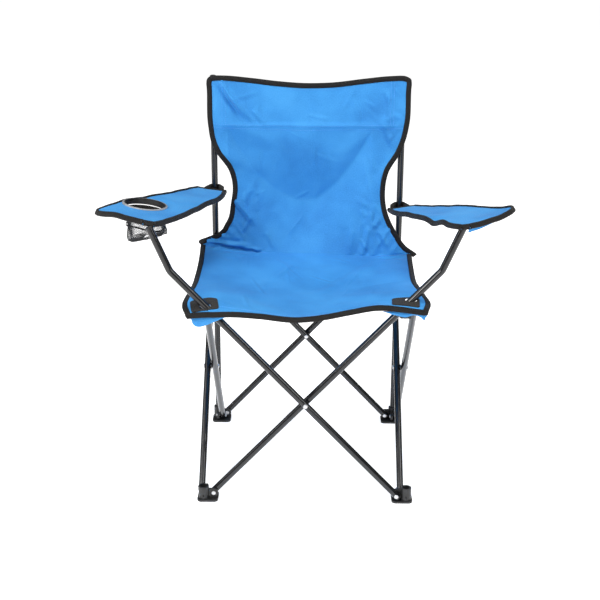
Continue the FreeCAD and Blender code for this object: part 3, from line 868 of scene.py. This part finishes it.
arm = {
    "thickness": 3.2, "frontY": -208.0, "splitY": 10.0, "rearY": 190.0, "lip": 8.0, "bend": 62.0,
    "roll": 8.0, "tipX": 294.5, "frontRows": 118, "rearRows": 70, "cols": 92, "crowd": 1.25, "rearGrow": 0.4,
    "colSpan": (0.06, 0.94), "ringHole": 42.6,
    "outside": {
        "left": [(-208, 306), (-198, 332), (-174, 369), (-142, 402), (-120, 409), (-104, 403), (-88, 384),
                 (-70, 371),
                 (-48, 357), (-20, 334), (10, 316), (60, 291), (119, 270), (172, 250), (190, 242)],
        "right": [(-208, 306), (-196, 325), (-168, 362), (-132, 396), (-112, 403), (-98, 400), (-72, 384),
                  (-20, 350),
                  (10, 331), (80, 290), (172, 246), (190, 238)],
    },
    "inside": {
        "left": [(-208, 286), (-192, 275), (-165, 262), (-84, 232), (10, 206), (100, 184), (190, 180)],
        "right": [(-208, 290), (-192, 279), (-176, 272), (-158, 265), (-140, 259), (-122, 253), (-104, 247),
                  (-43, 226),
                  (31, 203), (100, 186), (190, 180)],
    },
    "level": {"left": [(-208, 575.5), (-120, 574.6), (10, 573.4), (190, 561.6)],
              "right": [(-208, 573.0), (-150, 569.5), (10, 553.4), (190, 523.6)]},
}
armWaves = {
    "ripple": {"left": (31, 70.0, 1.0), "right": (37, 70.0, 1.2)}, "ringClear": (50, 24), "ringSink": 0.9,
    "front": (-205, 26.0), "droop": 14.0, "droopFrom": (356, 52), "droopPower": 1.4, "droopAlong": (50, 40),
    "lift": 6.0, "liftFrom": (366, 38), "liftPower": 1.5, "last": 1.2,
    "dips": [(4.6, -104, 18.0), (-3.4, -150, 15.0), (-1.6, -60, 18.0)], "dipSide": (-290, 40),
}
armTape = {**edgeTape, "width": 8.4, "half": 2.5, "over": 2.4, "step": 2.2}
armBend = bendTable(arm["lip"], arm["bend"])


def towards(x, start, width, power):
    return np.clip((x - start) / width, 0, armWaves["last"]) ** power


def armHeight(side, x, y):
    w = armWaves
    z = np.interp(y, *zip(*arm["level"][side]))
    z = z + (x - arm["tipX"]) * math.tan(math.radians(arm["roll"]))
    waving = ripple(x, y, *w["ripple"][side])
    if side == "left":
        away = fade(np.hypot(x - abs(ringMiddle.x), y - ringMiddle.y), *w["ringClear"])
        droop = w["droop"] * towards(x, *w["droopFrom"], w["droopPower"]) * fade(-y, *w["droopAlong"])
        return z + waving * away - w["ringSink"] * (1 - away) * (1 - bell(y, *w["front"])) - droop
    dips = sum(height * bell(y, middle, reach) for height, middle, reach in w["dips"])
    return z - dips * fade(-x, *w["dipSide"]) + w["lift"] * towards(x, *w["liftFrom"], w["liftPower"]) + waving


def wayToRim(points, rim):
    # shortest way from each point to a closed outline
    best, foot = np.full(len(points), np.inf), np.zeros_like(points)
    for corner, side in zip(rim, np.roll(rim, -1, axis=0) - rim):
        share = np.clip(((points - corner) @ side) / max(side @ side, tiny), 0, 1)
        place = corner + share[:, None] * side
        far = np.hypot(*(points - place).T)
        closer = far < best
        best[closer], foot[closer] = far[closer], place[closer]
    return best, foot


def armGrid(side):
    # laid out flat with its rim outside the finished outline, then the rim is rolled down
    grow = arm["lip"] - armBend[1][0]
    start = arm["frontY"] - grow
    front = start + (arm["splitY"] - start) * np.linspace(0, 1, arm["frontRows"]) ** arm["crowd"]
    end = arm["rearY"] + grow * arm["rearGrow"]
    rows = np.concatenate([front, np.linspace(arm["splitY"], end, arm["rearRows"])[1:]])
    flatY = np.clip(rows, arm["frontY"], arm["rearY"])
    u = 0.5 - 0.5 * np.cos(math.pi * np.linspace(*arm["colSpan"], arm["cols"]))
    u = (u - u[0]) / (u[-1] - u[0])
    inside = throughPoints(arm["inside"][side], flatY) - grow
    outside = throughPoints(arm["outside"][side], flatY) + grow
    x = inside[:, None] + (outside - inside)[:, None] * u[None, :]
    flat = np.stack([x, np.tile(rows[:, None], (1, arm["cols"]))], -1)
    rim = np.concatenate([flat[0], flat[1:, -1], flat[-1, -2::-1], flat[-2:0:-1, 0]])
    far, foot = wayToRim(flat.reshape(-1, 2), rim)
    far, foot = far.reshape(x.shape), foot.reshape(flat.shape)
    away = unit(flat - foot)
    away[0], away[-1] = away[1], away[-2]
    away[:, 0], away[:, -1] = away[:, 1], away[:, -2]
    rolled = far < arm["lip"]
    shift = np.interp(far, armBend[0], arm["lip"] - armBend[0] - armBend[1])
    moved = flat + away * np.where(rolled, shift, 0)[..., None]
    drop = np.where(rolled, np.interp(far, armBend[0], armBend[2]), 0)
    z = armHeight(side, moved[..., 0], moved[..., 1]) - drop
    p = np.concatenate([moved, z[..., None]], -1)
    n = gridNormals(p)
    if side == "left":
        mirror = np.array([-1.0, 1.0, 1.0])
        p, n = (p * mirror)[:, ::-1], (n * mirror)[:, ::-1]
    return p, n, len(front) - 1


def armHalf(side, part, p, n):
    keep, cut = None, 0
    if side == "left" and part == "Front":
        cells = (p[:-1, :-1] + p[1:, 1:]) / 2
        keep = np.hypot(cells[..., 0] - ringMiddle.x, cells[..., 1] - ringMiddle.y) > arm["ringHole"]
        cut = math.pi * (arm["ringHole"] * mm) ** 2
    name = side + "Armrest" + part
    body = side + "_arm_" + part.lower()
    piece = clothFromGrid(name, p, arm["thickness"], p[..., :2], keep, n)
    finishPiece(piece, body, blueCloth)
    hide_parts(side + "_armrest_" + part.lower())
    first, last = edgeOf(p, n, "left"), edgeOf(p, n, "right")
    if part == "Front":
        edges = [turned(first), edgeOf(p, n, "low"), last]
    else:
        edges = [first, edgeOf(p, n, "high"), turned(last)]
    bindEdge(name + "Binding", edges, body, None, armTape)


loop = {
    "half": 9.5, "thick": 1.5, "bow": 1.2, "ends": [(21, 186), (19, 194), (12, 201)], "middleY": 200.0,
    "wrap": (10.4, 11.0), "wrapY": 204, "sway": 1.2, "swayTurn": 0.5,
}


def armLoop(side):
    # webbing from one rear corner of the armrest round the post to the other
    sign = -1 if side == "left" else 1
    low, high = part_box(side + "_armrest_loop")
    z = (low.z + high.z) / 2 / mm
    route = [(-dx, y) for dx, y in loop["ends"]]
    for a in np.radians(np.linspace(170, 10, 15)):
        route.append((loop["wrap"][0] * math.cos(a), loop["wrapY"] + loop["wrap"][1] * math.sin(a)))
    route += loop["ends"][::-1]
    levels = [z + loop["sway"] * math.sin(k * loop["swayTurn"]) for k in range(len(route))]
    path = np.array([(sign * (postX + dx), y, level) for (dx, y), level in zip(route, levels)])
    for step in range(2):
        path[1:-1] = (path[:-2] + 2 * path[1:-1] + path[2:]) / 4
    out = path - np.array([sign * postX, loop["middleY"], z])
    out[:, 2] = 0
    half, thick = loop["half"] * mm, loop["thick"] * mm / 2
    bow = thick * loop["bow"]
    section = [(-thick, -half), (thick, -half), (bow, 0), (thick, half), (-thick, half), (-bow, 0)]
    up = same((0, 0, 1), len(path))
    piece = sweep(side + "ArmrestLoop", path * mm, unit(out), up, section)
    finishPiece(piece, side + "_arm_loop", webbing)
    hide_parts(side + "_armrest_loop")


lining = {
    "hang": 9.8, "least": 1.0, "inset": 1.5, "slant": 2.0, "tucked": 2.2, "from": 54, "to": 46, "rows": 6,
    "thickness": 0.9, "early": 0.8, "full": 1.2,
}


def armLining(p):
    # the lower layer of cloth, which shows under the binding along the front outer edge
    edge = np.concatenate([p[0, lining["from"]:], p[1:lining["to"], -1]])
    inward = np.concatenate([(p[1] - p[0])[lining["from"]:], (p[:, -2] - p[:, -1])[1:lining["to"]]])
    inward[:, 2] = 0
    share = np.linspace(0, 1, len(edge))
    hang = lining["hang"] * np.sin(math.pi * share ** lining["early"]) ** lining["full"] + lining["least"]
    rows = []
    for k in np.linspace(0, 1, lining["rows"]):
        row = edge + unit(inward) * (lining["inset"] + lining["slant"] * k ** 2)
        row[:, 2] += lining["tucked"] - hang * k
        rows.append(row)
    grid = np.array(rows)
    piece = clothFromGrid("rightArmrestLining", grid, lining["thickness"], grid[..., [0, 2]])
    finishPiece(piece, "right_arm_front", blueCloth)


for side in ("left", "right"):
    armP, armN, armSplit = armGrid(side)
    if side == "right":
        armLining(armP)
    armHalf(side, "Front", armP[:armSplit + 1], armN[:armSplit + 1])
    armHalf(side, "Rear", armP[armSplit:], armN[armSplit:])
    armLoop(side)
print("armrests made")

bag = {
    "strand": 0.62, "around": 84, "down": 20, "floorRows": 7, "crumple": 4.2, "topDrop": 8.0, "length": 52.0,
    "lean": 11.0, "leanShare": 0.25, "radius": 41.0, "taper": 4.5, "floorShare": 0.93, "waist": 2.0,
    "sag": 2.0, "sway": 2.0, "keep": 0.12,
    "bands": [("Hem", 40.6, 9.0, 8.5, 0.4),
              ("DrawBand", 38.4, 30.0, 1.6, 2.4)],  # name, radius, drop, half width, sway
    "bandSteps": 60, "bandThick": 0.9, "bandOver": 0.8,
}


def bagTop(x):
    # the level under the ring's sleeve, which is tilted with the armrest
    return ringMiddle.z - bag["topDrop"] - (x - ringMiddle.x) * math.tan(math.radians(arm["roll"]))


def meshBag():
    cx, cy = ringMiddle.x, ringMiddle.y
    rows, cols = bag["down"], bag["around"]
    total = rows + bag["floorRows"]
    verts, faces = [], []
    for i in range(total):
        wall, floorShare = min(i, rows) / rows, max(0, i - rows) / bag["floorRows"]
        for j in range(cols):
            a = fullTurn * (j + 0.5 * (i % 2)) / cols
            r = (bag["radius"] - bag["taper"] * wall) * (1 - floorShare * bag["floorShare"])
            dent = bag["crumple"] * wall * (1 - floorShare)
            r += dent * math.sin(3 * a + 5 * wall) * math.sin(5 * a - 3 * wall)
            r -= bag["waist"] * math.sin(wall * math.pi) * math.cos(2 * a)
            x = cx + r * math.cos(a) + bag["lean"] * wall * bag["leanShare"]
            hang = bag["length"] - bag["lean"] * math.cos(a) * (1 - floorShare) + bag["sway"] * math.sin(2 * a + 1)
            z = bagTop(x) - hang * wall - bag["sag"] * floorShare
            verts.append((x * mm, (cy + r * math.sin(a)) * mm, z * mm))
    for i in range(total - 1):
        for j in range(cols):
            a, b = i * cols + j, i * cols + (j + 1) % cols
            c, d = (i + 1) * cols + (j + 1) % cols, (i + 1) * cols + j
            faces += [(a, b, d), (b, c, d)] if i % 2 == 0 else [(a, b, c), (a, c, d)]
    piece = newMesh("cupMeshBag", verts, faces)
    wire = piece.modifiers.new("net", "WIREFRAME")
    wire.thickness = bag["strand"] * mm
    wire.use_even_offset = False
    applied = bpy.data.meshes.new_from_object(piece.evaluated_get(bpy.context.evaluated_depsgraph_get()))
    piece.modifiers.clear()
    piece.data = applied
    piece.data.name = "cupMeshBag"
    finishPiece(piece, "left_arm_front", netBlack)
    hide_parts("cup_mesh_bag")
    angles = np.linspace(0, fullTurn, bag["bandSteps"] + 1)[:-1]
    out = np.stack([np.cos(angles), np.sin(angles), np.zeros(len(angles))], 1)
    upward = same((0, 0, 1), len(angles))
    parts = [piece]
    for label, radius, below, half, sway in bag["bands"]:
        path = out * radius + np.array([cx, cy, 0])
        path[:, 2] = bagTop(path[:, 0]) - below + np.sin(angles * 3 + 1) * sway
        section = tapeSection(bag["bandThick"] * mm, half * mm, bag["bandOver"] * mm)
        band = sweep("cupBag" + label, path * mm, out, upward, section, True)
        finishPiece(band, "left_arm_front", bindingTape)
        parts.append(band)
    for part in parts:
        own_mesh(part)


meshBag()
print("mesh bag made")

stageLook = {"reach": 95, "colour": (0.93, 0.93, 0.93), "roughness": 0.85, "world": 0.16}
floorSockets = {"Emission Strength": 0.74, "Emission Color": (1, 1, 1, 1), "Specular IOR Level": 0.05}


def makeStage():
    reach = stageLook["reach"]
    corners = [(-reach, -reach, 0), (reach, -reach, 0), (reach, reach, 0), (-reach, reach, 0)]
    floor = newMesh("floor", corners, [(0, 1, 2, 3)])
    pale = newMaterial("paleFloor", stageLook["colour"], stageLook["roughness"], 0.0, floorSockets)[0]
    floor.data.materials.append(pale)
    world = bpy.data.worlds.new("studio")
    bpy.context.scene.world = world
    world.use_nodes = True
    background = world.node_tree.nodes["Background"]
    background.inputs["Color"].default_value = (1, 1, 1, 1)
    background.inputs["Strength"].default_value = stageLook["world"]


lights = [  # name, place, width, height, power
    ("keyWindow", (-1.7, -2.2, 2.1), 0.75, 1.8, 53), ("sideWindow", (1.75, -1.15, 1.6), 0.35, 1.3, 16),
    ("topLight", (0.1, -0.2, 3.0), 1.2, 0.8, 30), ("rearStrip", (1.3, 2.2, 2.0), 0.3, 1.5, 12),
    ("leftStrip", (-2.2, -0.6, 1.5), 0.3, 1.3, 9),
]
sunLight = {"power": 0.55, "spread": 50, "turn": (28, -12, 0)}  # the angles are in degrees
aim = Vector((0, 0, 0.4))


def makeLights():
    for name, place, width, height, power in lights:
        data = bpy.data.lights.new(name, "AREA")
        data.shape, data.size, data.size_y, data.energy = "RECTANGLE", width, height, power
        lamp = bpy.data.objects.new(name, data)
        lamp.location = place
        lamp.rotation_euler = (aim - Vector(place)).to_track_quat("-Z", "Y").to_euler()
        collection.objects.link(lamp)
    sun = bpy.data.objects.new("softSun", bpy.data.lights.new("softSun", "SUN"))
    sun.data.energy, sun.data.angle = sunLight["power"], math.radians(sunLight["spread"])
    sun.rotation_euler = [math.radians(a) for a in sunLight["turn"]]
    collection.objects.link(sun)


view = {
    "place": (0.0058, -2.3529, 1.1305), "pitch": -0.317, "yaw": -0.0081, "roll": 0.0052, "lens": 70.99, "film": 36.0,
}


def makeCamera():
    pitch, yaw, roll = view["pitch"], view["yaw"], view["roll"]
    ahead = Vector((math.sin(yaw) * math.cos(pitch), math.cos(yaw) * math.cos(pitch), math.sin(pitch)))
    right = Vector((math.cos(yaw), -math.sin(yaw), 0))
    up = right.cross(ahead)
    c, s = math.cos(roll), math.sin(roll)
    right, up = right * c + up * s, up * c - right * s
    data = bpy.data.cameras.new("camera")
    data.lens, data.sensor_width = view["lens"], view["film"]
    camera = bpy.data.objects.new("camera", data)
    turn = Matrix((right, up, -ahead)).transposed().to_4x4()
    camera.matrix_world = Matrix.Translation(view["place"]) @ turn
    collection.objects.link(camera)
    bpy.context.scene.camera = camera


makeStage()
makeLights()
makeCamera()
bpy.context.scene.view_settings.view_transform = "Standard"
print("studio made")
